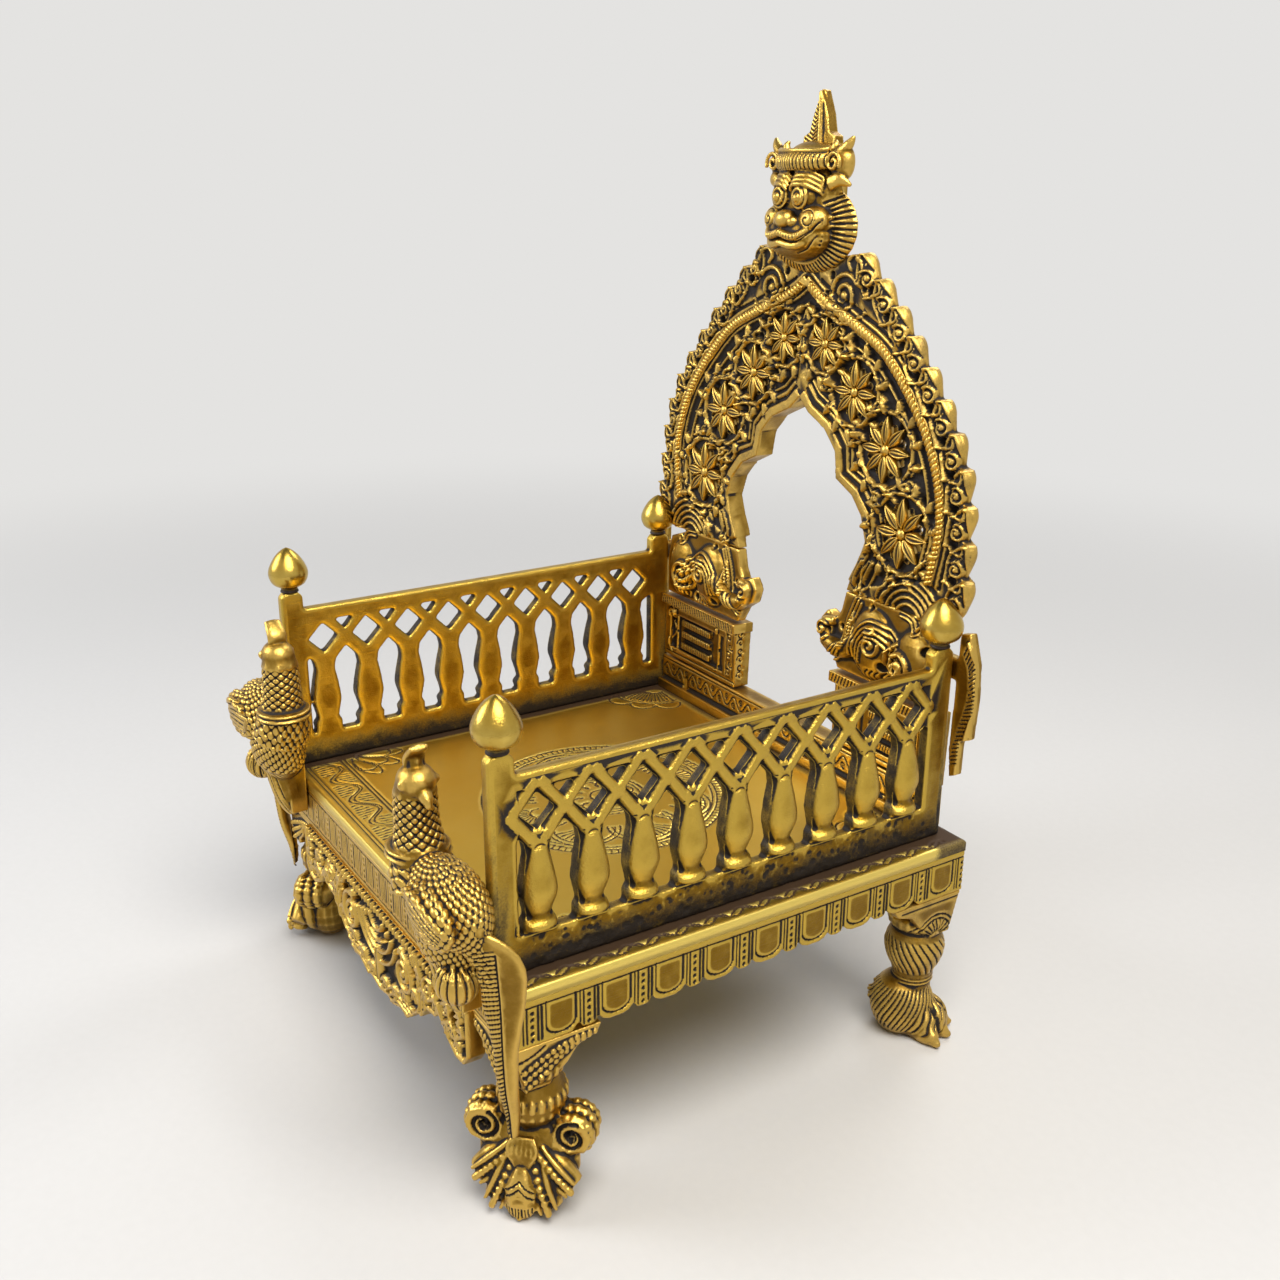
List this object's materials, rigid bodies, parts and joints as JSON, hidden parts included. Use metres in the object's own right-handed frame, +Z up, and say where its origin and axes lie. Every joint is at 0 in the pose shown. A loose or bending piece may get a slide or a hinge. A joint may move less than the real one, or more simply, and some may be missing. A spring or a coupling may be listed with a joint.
{
  "type": "deity throne",
  "caption": "Cast brass household shrine throne with pierced baluster railings, peacock brackets, pierced border and flame-edged back arch with makaras and guardian mask",
  "frame": {"origin": "on the floor, under the middle of the overall bounding box", "axes": "+Z up, -Y the open front of the throne, +X the throne's right-hand side seen from the front"},
  "size_m": [0.1836, 0.1746, 0.278],
  "materials": {
    "antique_brass": "aged and hand polished",
    "fastener_brass": "dull turned"
  },
  "bodies": {
    "root": {"seat_plate": "antique_brass", "right_apron": "antique_brass", "left_apron": "antique_brass", "rear_apron": "antique_brass", "front_apron": "antique_brass", "front_lambrequin": "antique_brass", "front_right_leg": "antique_brass", "front_left_leg": "antique_brass", "rear_right_leg": "antique_brass", "rear_left_leg": "antique_brass", "right_railing": "antique_brass", "left_railing": "antique_brass", "front_right_finial": "antique_brass", "front_left_finial": "antique_brass", "rear_right_finial": "antique_brass", "rear_left_finial": "antique_brass", "arch_sill": "antique_brass", "right_pillar": "antique_brass", "left_pillar": "antique_brass", "right_makara": "antique_brass", "left_makara": "antique_brass", "arch_frame": "antique_brass", "guardian_mask": "antique_brass", "spire": "antique_brass", "right_peacock": "antique_brass", "left_peacock": "antique_brass", "rail_stud_1": "fastener_brass", "rail_stud_2": "fastener_brass", "rail_stud_3": "fastener_brass", "rail_stud_4": "fastener_brass", "rail_stud_5": "fastener_brass", "rail_stud_6": "fastener_brass", "rail_nut_1": "fastener_brass", "rail_nut_2": "fastener_brass", "rail_nut_3": "fastener_brass", "rail_nut_4": "fastener_brass", "rail_nut_5": "fastener_brass", "rail_nut_6": "fastener_brass", "sill_stud_1": "fastener_brass", "sill_stud_2": "fastener_brass", "sill_nut_1": "fastener_brass", "sill_nut_2": "fastener_brass", "leg_stud_1": "fastener_brass", "leg_stud_2": "fastener_brass", "leg_stud_3": "fastener_brass", "leg_stud_4": "fastener_brass", "peacock_pin_1": "fastener_brass", "peacock_pin_2": "fastener_brass", "peacock_nut_1": "fastener_brass", "peacock_nut_2": "fastener_brass"}
  },
  "joints": []
}
